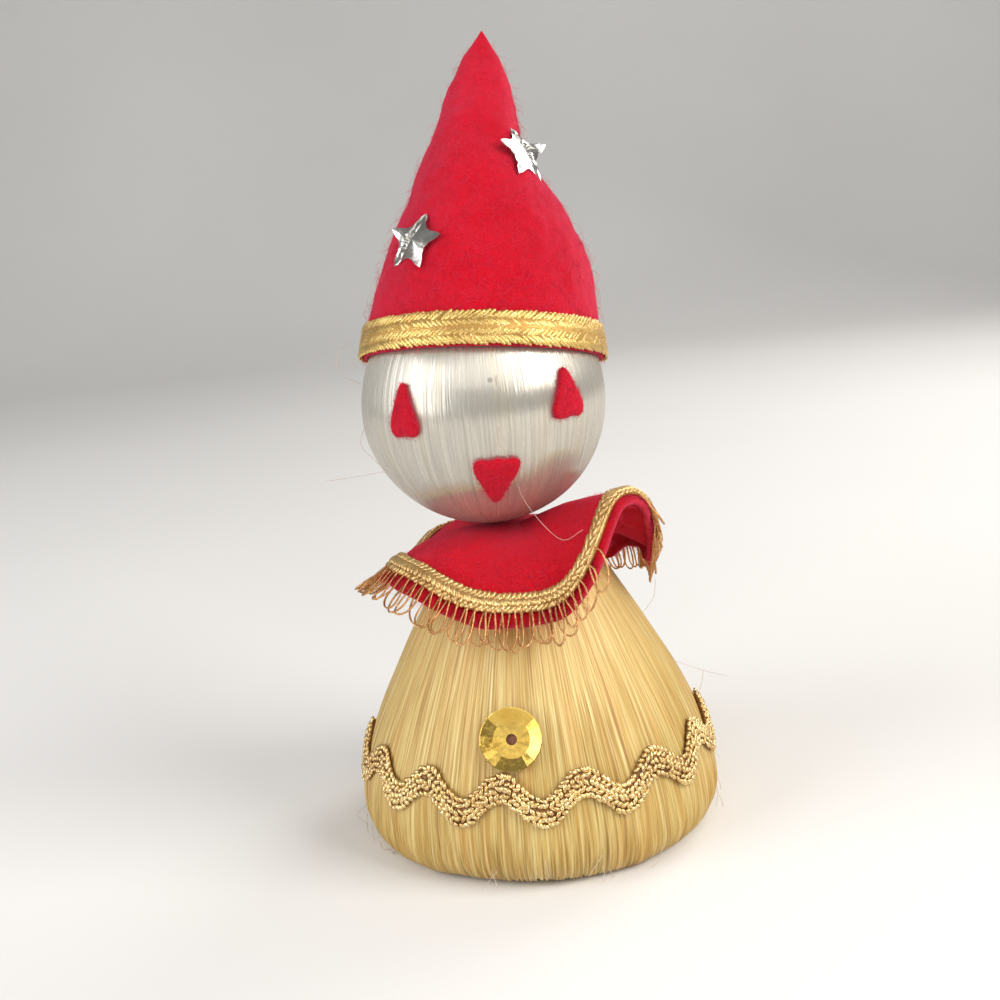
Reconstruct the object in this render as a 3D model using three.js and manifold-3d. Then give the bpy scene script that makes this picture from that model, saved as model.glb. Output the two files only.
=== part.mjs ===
// Clown tree ornament: a bell body and ball head wound with satin thread, a draped felt collar with
// a looped gold trim between them, and a pointed felt hat with a gold band and star sequins.
// Millimetres, +Z up, the face looks along -Y. The origin is the centre of the flat underside.
// Azimuths are in degrees around +Z, with 0 along +X, so the front is at -90.
import * as THREE from "three";
import { mergeVertices } from "three/addons/utils/BufferGeometryUtils.js";
import Module from "manifold-3d";

const wasm = await Module();
wasm.setup();

// Driving dimensions
const GAP = 0.25; // between a piece and what it rests on

// The bell's side is a curve from the belly to the shoulder, and keeps its direction for a pull at each end.
const BODY = {
  segments: 40,
  bellyRadius: 23,
  bellyHeight: 4.2,
  bellyPull: 9,
  corner: 3.2,
  shoulderRadius: 9,
  shoulderHeight: 35.8,
  shoulderPull: { out: 5.6, down: 10 },
  cap: 3.5,
  top: 37.7,
};
const HEAD = { segments: 34, rings: 12, radius: 15, centre: new THREE.Vector3(-2.9, 0, 54.4) };

// The hat stands on the head's centre, tipped back and leaned to the right.
// Its heights run from the band's lower edge, and the felt's own edge is hidden behind the band.
const HAT = {
  segments: 36,
  pitch: 13.5,
  lean: 5,
  rim: 5.2,
  radius: 14.7,
  height: 40.5,
  bulge: 1.38,
  hollow: 31.5,
  felt: 0.5,
  rows: [0.01, 0.1, 0.2, 0.31, 0.43, 0.56, 0.7, 0.82, 0.92, 0.98],
  insideRows: 6,
};
// From this share of its height on, the hat is squeezed flat from front and back.
const TIP = { from: 0.7, widen: 0.3, flatten: 0.4 };
// On the right the felt is pressed in below the tip, and puffs out above the band, where the depth is
// below zero. The spreads are in degrees and in shares of the height.
const DENTS = [
  { azimuth: -12, share: 0.61, depth: 1.7, around: 40, along: 0.12 },
  { azimuth: -20, share: 0.27, depth: -1, around: 70, along: 0.13 },
];
const BAND = { start: 0.1, width: 3.7, thickness: 0.4, ridges: 2, ridge: 0.15 };

// The collar is a felt disc around the neck that sags and lifts in folds. Distances run along the felt.
const COLLAR = {
  segments: 68,
  rows: [0, 5.6, 11.2, 14.2, 16.8, 19.4],
  shift: 0.9,
  height: 38.5,
  reach: 19.4,
  felt: 0.8,
  droop: 6.3,
  tilt: 0.4,
  curve: 2.3,
  lift: 1.35,
};
const BRAID = { middle: 16.8, width: 2.3, thickness: 0.9, edge: 0.63 };
// Each fold's crest, its rise at the braid, how far it spreads to either side in degrees, how squarely,
// and how much steeper the fringe hangs there.
const FOLDS = [
  { azimuth: -46, rise: 11, before: 21, after: 31, power: 2.3, hang: 0 },
  { azimuth: -154, rise: 3.6, before: 34, after: 30, power: 2.6, hang: -14 },
  { azimuth: 22, rise: 3, before: 21, after: 21, power: 3, hang: 0 },
  { azimuth: 125, rise: 3.2, before: 27, after: 27, power: 3, hang: 0 },
];
// The margin outside the braid hangs steeper, curls under on the right, and is flatter on a crest.
const MARGIN = { slope: 44.5, crest: 2.1, steeper: 78, drawnIn: 0.04, narrower: 0.48 };
const RIGHT_SIDE = { azimuth: -13, before: 20, after: 60, power: 3 };
const NARROW_SIDE = { azimuth: -46, before: 30, after: 60, power: 4 };

// Wire loops from the braid's outer edge. They are tucked away where the fold's near side is bare.
const LOOPS = {
  count: 40,
  steps: 6,
  root: 0.5,
  length: 5.2,
  halfWidth: 1.1,
  neck: 0.6,
  belly: 0.8,
  wire: 0.22,
  sides: 3,
  level: 0.3,
  overhang: 0.4,
  slope: 44,
  steeper: 56,
};
const BARE = { from: -62, to: -38 };

const RICKRACK = {
  waves: 14,
  phase: 96,
  steps: 6,
  height: 11.2,
  swing: 1.4,
  width: 3.5,
  thickness: 0.7,
  edge: 0.56,
};
const SEQUIN = {
  segments: 20,
  radius: 3.7,
  floor: 2.2,
  hole: 0.65,
  cup: 0.6,
  thickness: 0.25,
  azimuth: -99.5,
  height: 17.8,
  footing: 3,
};

// Star sequins: places on the hat as an azimuth and a share of its height, the turn of the first point
// from straight down, the point that is bent up, counted to the right, and how far.
const STAR = {
  points: 5,
  outer: 3.8,
  inner: 2.1,
  side: 0.2,
  dome: 0.6,
  thickness: 0.3,
};
const STARS = [
  { name: "star_left", azimuth: -131, share: 0.309, turn: 26, raised: 3, raise: 1 },
  { name: "star_right", azimuth: -50, share: 0.585, turn: 36, raised: 1, raise: 1.6 },
  { name: "star_back", azimuth: 95, share: 0.46, turn: 5, raised: 2, raise: 0.6 },
];

// Felt triangles of the face: the middle's azimuth and elevation, and the skew of the long corner.
const PATCH = { thickness: 0.6, corner: 0.28 };
const FACE = [
  { name: "eye_left", azimuth: -127.5, elevation: 8, width: 4.6, height: 6.9, skew: 0, turn: 2 },
  { name: "eye_right", azimuth: -51, elevation: 9.2, width: 5.3, height: 6.5, skew: 0.4, turn: 2 },
  { name: "mouth", azimuth: -86, elevation: -31, width: 5.9, height: 7.2, skew: 0.6, turn: 180 },
];

function finish(color, roughness, metalness = 0) {
  return new THREE.MeshStandardMaterial({ color, roughness, metalness });
}
const YELLOW_SATIN = finish(0xe8cc80, 0.4);
const WHITE_SATIN = finish(0xe9e2cf, 0.4);
const RED_FELT = finish(0xc9152a, 0.95);
const GOLD_BRAID = finish(0xb98d3a, 0.4, 0.8);
const GOLD_FOIL = finish(0xd2a838, 0.2, 1);
const SILVER_FOIL = finish(0xb9b7ae, 0.2, 1);

const { degToRad, euclideanModulo, lerp, radToDeg, smoothstep } = THREE.MathUtils;

// A profile turned around Z. It is given as [radius, height] pairs.
function turned(profile, segments) {
  const points = profile.map(([radius, height]) => new THREE.Vector2(radius, height));
  return new THREE.LatheGeometry(points, segments).rotateX(Math.PI / 2);
}

// Moves each vertex of a geometry to where place() puts it.
function moved(geometry, place) {
  const position = geometry.attributes.position;
  for (let i = 0; i < position.count; i++) {
    const spot = place(new THREE.Vector3().fromBufferAttribute(position, i));
    position.setXYZ(i, spot.x, spot.y, spot.z);
  }
  geometry.computeVertexNormals();
  return geometry;
}

function asSolid(geometry) {
  geometry.deleteAttribute("normal");
  geometry.deleteAttribute("uv");
  const merged = mergeVertices(geometry, 1e-4);
  return new wasm.Manifold(
    new wasm.Mesh({
      numProp: 3,
      vertProperties: merged.attributes.position.array,
      triVerts: new Uint32Array(merged.index.array),
    }),
  );
}

function asGeometry(solid) {
  const data = solid.getMesh();
  const geometry = new THREE.BufferGeometry();
  geometry.setAttribute("position", new THREE.BufferAttribute(data.vertProperties, 3));
  geometry.setIndex(new THREE.BufferAttribute(data.triVerts, 1));
  geometry.computeVertexNormals();
  return geometry;
}

function named(name, geometry, material) {
  const mesh = new THREE.Mesh(geometry, material);
  mesh.name = name;
  return mesh;
}

// A plate between an outline's low and high face, each a fan around the outline's middle.
function plate(outline, place) {
  const corners = THREE.ShapeUtils.isClockWise(outline) ? [...outline].reverse() : outline;
  const count = corners.length;
  const spots = [place(0, 0, 0), place(0, 0, 1)];
  for (const { x, y } of corners) spots.push(place(x, y, 0), place(x, y, 1));
  const faces = [];
  for (let i = 0; i < count; i++) {
    const low = 2 + 2 * i;
    const nextLow = 2 + 2 * ((i + 1) % count);
    faces.push(0, nextLow, low, 1, low + 1, nextLow + 1);
    faces.push(low, nextLow, nextLow + 1, low, nextLow + 1, low + 1);
  }
  const geometry = new THREE.BufferGeometry().setFromPoints(spots);
  geometry.setIndex(faces);
  geometry.computeVertexNormals();
  return geometry;
}

// The bell's outline from its underside to the middle of its top: a tight lower corner, then a long flare.
function bodyOutline() {
  const { bellyRadius, bellyHeight, bellyPull, corner, shoulderRadius, shoulderHeight, shoulderPull } = BODY;
  const flat = bellyRadius - corner;
  const lower = new THREE.EllipseCurve(flat, bellyHeight, corner, bellyHeight, -Math.PI / 2, 0);
  const shoulder = new THREE.Vector2(shoulderRadius, shoulderHeight);
  const flare = new THREE.CubicBezierCurve(
    new THREE.Vector2(bellyRadius, bellyHeight),
    new THREE.Vector2(bellyRadius, bellyHeight + bellyPull),
    new THREE.Vector2(shoulderRadius + shoulderPull.out, shoulderHeight - shoulderPull.down),
    shoulder,
  );
  const cap = new THREE.QuadraticBezierCurve(
    shoulder,
    new THREE.Vector2(shoulderRadius - BODY.cap, BODY.top),
    new THREE.Vector2(0, BODY.top),
  );
  return [...lower.getPoints(4), ...flare.getPoints(10).slice(1), ...cap.getPoints(3).slice(1)];
}

// The bell's radius at a height on its side.
function bodyRadius(height) {
  const outline = bodyOutline();
  const i = outline.findIndex((corner) => corner.y >= height);
  const [low, high] = [outline[i - 1], outline[i]];
  return lerp(low.x, high.x, (height - low.y) / (high.y - low.y));
}

function makeBody() {
  const side = bodyOutline().map(({ x, y }) => [x, y]);
  return named("body", turned([[0, 0], ...side], BODY.segments), YELLOW_SATIN);
}

function makeHead() {
  const ball = new THREE.SphereGeometry(HEAD.radius, HEAD.segments, HEAD.rings).rotateX(Math.PI / 2);
  const head = named("head", ball, WHITE_SATIN);
  head.position.copy(HEAD.centre);
  return head;
}

// A narrow triangle with rounded corners, bent around the head.
function makeFacePatch({ name, azimuth, elevation, width, height, skew, turn }) {
  const corners = [
    new THREE.Vector2(-width / 2, -height / 2),
    new THREE.Vector2(width / 2, -height / 2),
    new THREE.Vector2(skew, height / 2),
  ];
  const outline = [];
  corners.forEach((corner, i) => {
    const before = corners[(i + 2) % 3];
    const after = corners[(i + 1) % 3];
    const start = corner.clone().lerp(before, PATCH.corner);
    const end = corner.clone().lerp(after, PATCH.corner);
    outline.push(...new THREE.QuadraticBezierCurve(start, corner, end).getPoints(3));
  });
  const geometry = plate(outline, (x, y, side) => {
    const local = new THREE.Vector2(x, y).rotateAround(new THREE.Vector2(), degToRad(turn));
    const along = degToRad(azimuth) + local.x / (HEAD.radius * Math.cos(degToRad(elevation)));
    const up = degToRad(elevation) + local.y / HEAD.radius;
    const distance = HEAD.radius + GAP + side * PATCH.thickness;
    return new THREE.Vector3().setFromSphericalCoords(distance, Math.PI / 2 - up, along + Math.PI / 2);
  });
  const patch = named(name, geometry.rotateX(Math.PI / 2), RED_FELT);
  patch.position.copy(HEAD.centre);
  return patch;
}

// The hat's outer radius at a share of its height.
function hatRadius(share) {
  return HAT.radius * (1 - Math.pow(share, HAT.bulge));
}

// How far the hat's felt is pressed in, at an azimuth in degrees.
function dent(azimuth, share) {
  let pressedIn = 0;
  for (const place of DENTS) {
    const away = euclideanModulo(azimuth - place.azimuth + 180, 360) - 180;
    const around = away / place.around;
    const along = (share - place.share) / place.along;
    pressedIn += place.depth * Math.exp(-around * around - along * along);
  }
  return pressedIn;
}

// Dents the turned hat, and squeezes its end from front and back, so that it spreads sideways.
function pressed({ x, y, z }) {
  const share = (z - HAT.rim) / HAT.height;
  const radius = Math.hypot(x, y);
  const left = radius > 0 ? 1 - dent(radToDeg(Math.atan2(y, x)), share) / radius : 1;
  const amount = smoothstep(share, TIP.from, 1);
  return new THREE.Vector3(x * left * (1 + TIP.widen * amount), y * left * (1 - TIP.flatten * amount), z);
}

// A point of the hat's outside, at an azimuth in degrees.
function onHat(azimuth, share) {
  const radius = hatRadius(share);
  const around = degToRad(azimuth);
  const z = HAT.rim + share * HAT.height;
  return pressed(new THREE.Vector3(radius * Math.cos(around), radius * Math.sin(around), z));
}

function makeHat() {
  const outside = HAT.rows.map((share) => [hatRadius(share), HAT.rim + share * HAT.height]);
  const inside = outside.slice(0, HAT.insideRows).map(([radius, height]) => [radius - HAT.felt, height]);
  const profile = [[0, HAT.rim + HAT.hollow], ...inside.reverse(), ...outside, [0, HAT.rim + HAT.height]];
  return named("hat", moved(turned(profile, HAT.segments), pressed), RED_FELT);
}

// A flat braid around the hat's rim, its face in long ridges.
function makeHatBand() {
  const steps = 2 * BAND.ridges;
  const profile = [];
  for (let i = 0; i <= steps; i++) {
    const lift = GAP + BAND.thickness + (i % 2 ? BAND.ridge : 0);
    profile.push([i / steps, lift]);
  }
  profile.push([1, GAP], [0, GAP], profile[0]);
  const section = profile.map(([share, lift]) => {
    const height = BAND.start + share * BAND.width;
    return [hatRadius(height / HAT.height) + lift, HAT.rim + height];
  });
  return named("hat_band", turned(section, HAT.segments), GOLD_BRAID);
}

// A star with slightly hollow sides, domed, lying on the hat's felt, with one point bent up.
function makeStar({ name, azimuth, share, turn, raised, raise }) {
  const side = lerp(STAR.inner, STAR.outer, STAR.side);
  const reaches = [STAR.outer, side, STAR.inner, side];
  const corners = STAR.points * reaches.length;
  const outline = [];
  for (let i = 0; i < corners; i++) {
    const angle = (i / corners) * 2 * Math.PI;
    const reach = reaches[i % reaches.length];
    outline.push(new THREE.Vector2(reach * Math.cos(angle), reach * Math.sin(angle)));
  }
  const bent = (raised / STAR.points) * 2 * Math.PI;
  const geometry = plate(outline, (x, y, face) => {
    const out = Math.hypot(x, y) / STAR.outer;
    const toward = Math.max(0, Math.cos(Math.atan2(y, x) - bent));
    const height = STAR.dome * (1 - out) + raise * out * out * Math.pow(toward, 6);
    return new THREE.Vector3(x, y, height + face * STAR.thickness);
  });
  geometry.rotateZ(degToRad(turn));
  const star = named(name, geometry, SILVER_FOIL);
  const spot = onHat(azimuth, share);
  const across = onHat(azimuth + 1, share).sub(spot).normalize();
  const up = onHat(azimuth, share + 0.01).sub(spot);
  const outward = across.clone().cross(up).normalize();
  const down = across.clone().cross(outward);
  star.setRotationFromMatrix(new THREE.Matrix4().makeBasis(down, across, outward));
  star.position.copy(spot).addScaledVector(outward, GAP);
  return star;
}

// How much of a fold or side is felt at an azimuth: 1 at its middle, and 0 away from it.
function swell(azimuth, fold) {
  const away = euclideanModulo(azimuth - fold.azimuth + 180, 360) - 180;
  const spread = away < 0 ? fold.before : fold.after;
  return Math.exp(-Math.pow(Math.abs(away) / spread, fold.power));
}

// How far the collar's felt stands above the neck, at a distance up to the braid and an azimuth.
function collarRise(distance, azimuth) {
  const share = distance / BRAID.middle;
  const droop = COLLAR.droop + COLLAR.tilt * Math.sin(degToRad(azimuth));
  let rise = -droop * Math.pow(share, COLLAR.curve);
  for (const fold of FOLDS) rise += fold.rise * Math.pow(share, COLLAR.lift) * swell(azimuth, fold);
  return rise;
}

// The middle layer of the collar's felt. Outside the braid it runs on as a straight margin.
function collarMiddle(distance, azimuth) {
  const near = Math.min(distance, BRAID.middle);
  const rise = collarRise(near, azimuth);
  const side = swell(azimuth, RIGHT_SIDE);
  let slope = MARGIN.slope + MARGIN.steeper * side;
  for (const fold of FOLDS) slope -= MARGIN.crest * fold.rise * swell(azimuth, fold);
  const past = (distance - near) * (1 - MARGIN.narrower * swell(azimuth, NARROW_SIDE));
  const flat = Math.sqrt(Math.max(near * near - rise * rise, 0)) * (1 - MARGIN.drawnIn * side);
  const radius = flat + past * Math.cos(degToRad(slope));
  return new THREE.Vector3(
    COLLAR.shift * smoothstep(distance, 0, BRAID.middle) + radius * Math.cos(degToRad(azimuth)),
    radius * Math.sin(degToRad(azimuth)),
    COLLAR.height + rise - past * Math.sin(degToRad(slope)),
  );
}

// A point on or beside the collar's felt, at a height off its middle layer. The felt's direction is
// read between points a short reach away along it and a degree to either side.
function onCollar(distance, azimuth, off) {
  const spot = collarMiddle(distance, azimuth);
  const reach = 0.2;
  if (distance < reach) return spot.add(new THREE.Vector3(0, 0, off));
  const outward = collarMiddle(distance + reach, azimuth).sub(collarMiddle(distance - reach, azimuth));
  const around = collarMiddle(distance, azimuth + 1).sub(collarMiddle(distance, azimuth - 1));
  return spot.addScaledVector(outward.cross(around).normalize(), off);
}

// Lays a ring that was turned flat onto the collar: its radius runs along the felt.
function draped(geometry) {
  return moved(geometry, ({ x, y, z }) => onCollar(Math.hypot(x, y), radToDeg(Math.atan2(y, x)), z));
}

function makeCollar() {
  const under = COLLAR.rows.map((distance) => [distance, -COLLAR.felt / 2]);
  const over = COLLAR.rows.map((distance) => [distance, COLLAR.felt / 2]).reverse();
  return named("collar", draped(turned([...under, ...over], COLLAR.segments)), RED_FELT);
}

// One wire loop of the fringe. It lies on the felt's margin first, and hangs from there on.
function makeLoop(azimuth, wire) {
  const around = degToRad(azimuth);
  let slope = LOOPS.slope + LOOPS.steeper * swell(azimuth, RIGHT_SIDE);
  for (const fold of FOLDS) slope += fold.hang * swell(azimuth, fold);
  const flat = Math.cos(degToRad(slope));
  const down = -Math.sin(degToRad(slope));
  const away = new THREE.Vector3(flat * Math.cos(around), flat * Math.sin(around), down);
  const root = BRAID.middle + BRAID.width / 2 - LOOPS.root;
  const level = COLLAR.felt / 2 + GAP + LOOPS.level;
  const route = [];
  for (let i = 0; i <= LOOPS.steps; i++) {
    const turn = (Math.PI * i) / LOOPS.steps;
    const width = LOOPS.halfWidth * (LOOPS.neck + LOOPS.belly * Math.sin(turn));
    const aside = radToDeg((width * Math.cos(turn)) / BRAID.middle);
    const run = LOOPS.length * Math.sin(turn);
    const laid = Math.min(run, COLLAR.reach + LOOPS.overhang - root);
    route.push(onCollar(root + laid, azimuth + aside, level).addScaledVector(away, run - laid));
  }
  return new THREE.ExtrudeGeometry(wire, {
    steps: LOOPS.steps,
    bevelEnabled: false,
    extrudePath: new THREE.CatmullRomCurve3(route),
  });
}

// The braid's ring, and the fringe of wire loops that hangs from its outer edge.
function makeTrim() {
  const base = COLLAR.felt / 2 + GAP;
  const inner = BRAID.middle - BRAID.width / 2;
  const outer = BRAID.middle + BRAID.width / 2;
  const section = [
    [inner, base],
    [BRAID.middle, base],
    [outer, base],
    [outer, base + BRAID.edge],
    [BRAID.middle, base + BRAID.thickness],
    [inner, base + BRAID.edge],
    [inner, base],
  ];
  let trim = asSolid(draped(turned(section, COLLAR.segments)));
  const circle = new THREE.EllipseCurve(0, 0, LOOPS.wire, LOOPS.wire);
  const wire = new THREE.Shape(circle.getSpacedPoints(LOOPS.sides).slice(0, -1));
  for (let i = 0; i < LOOPS.count; i++) {
    const azimuth = (360 * (i + 0.5)) / LOOPS.count - 180;
    if (azimuth > BARE.from && azimuth < BARE.to) continue;
    trim = trim.add(asSolid(makeLoop(azimuth, wire)));
  }
  return named("collar_trim", asGeometry(trim), GOLD_BRAID);
}

// A waved braid around the belly, lying on the bell's curve.
function makeRickrack() {
  const { waves, phase, steps, height, swing, width, thickness, edge } = RICKRACK;
  const half = width / 2;
  const section = [
    [GAP, -half],
    [GAP + edge, -half],
    [GAP + thickness, 0],
    [GAP + edge, half],
    [GAP, half],
    [GAP, 0],
    [GAP, -half],
  ];
  const reach = BODY.bellyRadius;
  const ring = turned(section.map(([off, z]) => [reach + off, z]), waves * steps);
  const laid = moved(ring, ({ x, y, z }) => {
    const azimuth = Math.atan2(y, x);
    const level = height + swing * Math.sin(waves * azimuth + degToRad(phase)) + z;
    const radius = bodyRadius(level) + Math.hypot(x, y) - reach;
    return new THREE.Vector3(radius * Math.cos(azimuth), radius * Math.sin(azimuth), level);
  });
  return named("rickrack", laid, GOLD_BRAID);
}

// A cupped sequin with a hole in its flat floor.
function makeSequin() {
  const { segments, radius, floor, hole, cup, thickness, azimuth, height, footing } = SEQUIN;
  const section = [
    [hole, 0],
    [floor, 0],
    [radius, cup],
    [radius, cup + thickness],
    [floor, thickness],
    [hole, thickness],
    [hole, 0],
  ];
  const sequin = named("belly_sequin", turned(section, segments), GOLD_FOIL);
  const slope = Math.atan2(bodyRadius(height - footing) - bodyRadius(height + footing), 2 * footing);
  sequin.rotation.set(0, Math.PI / 2 - slope, 0);
  sequin.position.set(bodyRadius(height) + GAP / Math.cos(slope), 0, height);
  const spin = new THREE.Group();
  spin.rotation.z = degToRad(azimuth);
  spin.add(sequin);
  return spin;
}

const ornament = new THREE.Group();
ornament.add(makeBody(), makeHead(), ...FACE.map(makeFacePatch));
ornament.add(makeCollar(), makeTrim(), makeRickrack(), makeSequin());

const hat = new THREE.Group();
hat.position.copy(HEAD.centre);
hat.rotation.set(degToRad(-HAT.pitch), degToRad(HAT.lean), 0, "YXZ");
hat.add(makeHat(), makeHatBand(), ...STARS.map(makeStar));
ornament.add(hat);

export default ornament;
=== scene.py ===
import math

import bpy
import numpy as np
from mathutils import Matrix, Vector


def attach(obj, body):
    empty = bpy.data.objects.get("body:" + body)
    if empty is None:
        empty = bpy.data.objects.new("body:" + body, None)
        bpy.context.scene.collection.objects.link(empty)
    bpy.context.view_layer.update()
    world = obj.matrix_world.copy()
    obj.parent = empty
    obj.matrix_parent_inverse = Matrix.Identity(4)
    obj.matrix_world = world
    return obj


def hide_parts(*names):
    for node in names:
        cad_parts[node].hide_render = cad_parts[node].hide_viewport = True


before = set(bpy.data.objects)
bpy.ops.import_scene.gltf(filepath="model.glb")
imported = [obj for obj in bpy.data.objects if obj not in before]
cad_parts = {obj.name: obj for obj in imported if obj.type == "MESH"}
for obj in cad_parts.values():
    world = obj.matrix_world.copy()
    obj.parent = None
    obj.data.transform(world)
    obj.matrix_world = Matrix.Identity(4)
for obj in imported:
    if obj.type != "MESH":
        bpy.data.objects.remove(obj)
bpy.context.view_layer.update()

MM = 0.001

# Sizes shared with the solids
BELLY_RADIUS, BELLY_HEIGHT, CORNER = 23.0, 4.2, 3.2
SHOULDER_RADIUS, SHOULDER_HEIGHT, TOP = 9.0, 35.8, 37.7
BELLY_PULL, SHOULDER_OUT, SHOULDER_DOWN, CAP = 9.0, 5.6, 10.0, 3.5
HEAD_RADIUS = 15.0
HEAD_CENTRE = np.array([-2.9, 0.0, 54.4])

HAT_PITCH, HAT_LEAN = 13.5, 5.0
HAT_RIM, HAT_RADIUS, HAT_HEIGHT, HAT_BULGE = 5.2, 14.7, 40.5, 1.38
HAT_HOLLOW, HAT_FELT = 31.5, 0.5
TIP_FROM, TIP_WIDEN, TIP_FLATTEN = 0.7, 0.3, 0.4
# Azimuth, share of the height, depth, and spreads in degrees and in shares of the height
DENTS = [(-12, 0.61, 1.7, 40, 0.12), (-20, 0.27, -1.0, 70, 0.13)]
BAND_START, BAND_WIDTH, BAND_THICKNESS = 0.1, 3.7, 0.4

COLLAR_SHIFT, COLLAR_HEIGHT, COLLAR_REACH, COLLAR_FELT = 0.9, 38.5, 19.4, 0.8
COLLAR_DROOP, COLLAR_TILT, COLLAR_CURVE, COLLAR_LIFT = 6.3, 0.4, 2.3, 1.35
BRAID_MIDDLE, BRAID_WIDTH = 16.8, 2.3
# Crest azimuth, rise at the braid, spread before and after it, how squarely it rises, and how much
# steeper the fringe hangs there
FOLDS = [
    (-46, 11.0, 21, 31, 2.3, 0),
    (-154, 3.6, 34, 30, 2.6, -14),
    (22, 3.0, 21, 21, 3.0, 0),
    (125, 3.2, 27, 27, 3.0, 0),
]
MARGIN_SLOPE, MARGIN_CREST, MARGIN_STEEPER = 44.5, 2.1, 78.0
MARGIN_DRAWN_IN, MARGIN_NARROWER = 0.04, 0.48
RIGHT_SIDE = (-13, 0, 20, 60, 3.0, 0)
NARROW_SIDE = (-46, 0, 30, 60, 4.0, 0)
LOOP_LENGTH, LOOP_OVERHANG, LOOP_SLOPE, LOOP_STEEPER = 5.2, 0.4, 44.0, 56.0
LOOPS, LOOP_HALF, LOOP_WIRE = 98, 1.15, 0.12
BARE_FROM, BARE_TO = -62, -38

RICKRACK_WAVES, RICKRACK_PHASE, RICKRACK_HEIGHT = 14, 96.0, 11.2
RICKRACK_SWING, RICKRACK_WIDTH = 1.4, 3.5
SEQUIN_RADIUS, SEQUIN_HOLE, SEQUIN_FLOOR, SEQUIN_CUP = 3.7, 0.65, 2.2, 0.6
SEQUIN_AZIMUTH, SEQUIN_HEIGHT = -99.5, 17.8
STAR_POINTS, STAR_OUTER, STAR_INNER, STAR_SIDE, STAR_DOME = 5, 3.8, 2.1, 0.2, 0.6
# Name, azimuth, share of the hat's height, turn, the point that is bent up, and how far
STARS = [
    ("star_left", -131, 0.309, 26, 3, 1.0),
    ("star_right", -50, 0.585, 36, 1, 1.6),
    ("star_back", 95, 0.46, 5, 2, 0.6),
]
# Name, azimuth, elevation, width, height, skew of the long corner, turn
FACE = [
    ("eye_left", -127.5, 8, 4.6, 6.9, 0, 2),
    ("eye_right", -51, 9.2, 5.3, 6.5, 0.4, 2),
    ("mouth", -86, -31, 5.9, 7.2, 0.6, 180),
]
# What glue leaves between two pieces
GAP = 0.25


# Shape helpers

def unit(v):
    return v / np.maximum(np.linalg.norm(v, axis=-1, keepdims=True), 1e-9)


def smoothstep(x, low, high):
    t = np.clip((x - low) / (high - low), 0, 1)
    return t * t * (3 - 2 * t)


def polar(radius, azimuth, height):
    """Points at a radius from the Z axis, an azimuth in radians and a height."""
    spots = np.broadcast_arrays(radius * np.cos(azimuth), radius * np.sin(azimuth), height)
    return np.stack(spots, axis=-1)


def ripple(points, size, seed, waves=16):
    """Smooth noise, mostly from -1 to 1, whose bumps are about size across."""
    r = np.random.default_rng(seed)
    k = unit(r.normal(size=(waves, 3))) * (math.pi / size) * r.uniform(0.6, 1.5, (waves, 1))
    phase = r.uniform(0, 2 * math.pi, waves)
    return np.sin(points @ k.T + phase).sum(axis=-1) / math.sqrt(waves)


def grid_faces(rows, columns, wrap):
    """Quads of a grid of rows and columns; wrap joins the last column to the first."""
    i, j = np.meshgrid(np.arange(rows - 1), np.arange(columns if wrap else columns - 1), indexing="ij")
    a, b = i * columns + j, i * columns + (j + 1) % columns
    return np.stack([a, b, b + columns, a + columns], axis=-1).reshape(-1, 4)


def make(name, points, faces, materials, replaced=(), smooth=True, kinds=None):
    """A mesh piece from points in millimetres. faces is an array of faces, or a list of such arrays."""
    groups = faces if isinstance(faces, list) else [faces]
    materials = materials if isinstance(materials, list) else [materials]
    corners = np.concatenate([g.ravel() for g in groups]).astype(np.int32)
    sizes = np.concatenate([np.full(len(g), g.shape[1]) for g in groups])
    mesh = bpy.data.meshes.new(name)
    mesh.vertices.add(len(points))
    mesh.vertices.foreach_set("co", (np.asarray(points, float) * MM).astype(np.float32).ravel())
    mesh.loops.add(len(corners))
    mesh.loops.foreach_set("vertex_index", corners)
    mesh.polygons.add(len(sizes))
    mesh.polygons.foreach_set("loop_start", np.concatenate([[0], np.cumsum(sizes)[:-1]]).astype(np.int32))
    mesh.update(calc_edges=True)
    mesh.polygons.foreach_set("use_smooth", np.full(len(sizes), smooth))
    for material in materials:
        mesh.materials.append(material)
    if kinds is not None:
        mesh.polygons.foreach_set("material_index", np.asarray(kinds, np.int32))
    mesh.validate()
    mesh.update()
    piece = bpy.data.objects.new(name, mesh)
    bpy.context.scene.collection.objects.link(piece)
    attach(piece, "root")
    if replaced:
        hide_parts(*replaced)
    return piece


def tubes(paths, radii, sides, first_up=None):
    """Points and faces of round threads along paths, an (n, m, 3) array, with radii as (n, m) or less."""
    n, m, _ = paths.shape
    radii = np.broadcast_to(radii, (n, m))
    tangent = unit(np.gradient(paths, axis=1))
    askew = [0.31, 0.52, 0.79]
    up = np.cross(tangent[:, 0], askew) if first_up is None else first_up
    angles = np.arange(sides) * 2 * math.pi / sides
    points = np.empty((n, m, sides, 3))
    for j in range(m):
        t = tangent[:, j]
        up = unit(up - t * (up * t).sum(axis=-1, keepdims=True))
        across = np.cross(t, up)
        ring = up[:, None] * np.cos(angles)[:, None] + across[:, None] * np.sin(angles)[:, None]
        points[:, j] = paths[:, j, None] + ring * radii[:, j, None, None]
    side = np.arange(sides)
    i, j, k = np.meshgrid(np.arange(n), np.arange(m - 1), side, indexing="ij")
    a, b = (i * m + j) * sides, (i * m + j + 1) * sides
    walls = np.stack([a + k, a + (k + 1) % sides, b + (k + 1) % sides, b + k], axis=-1).reshape(-1, 4)
    start = np.arange(n)[:, None] * m * sides
    return points.reshape(-1, 3), [walls, start + side[::-1], start + (m - 1) * sides + side]


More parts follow.
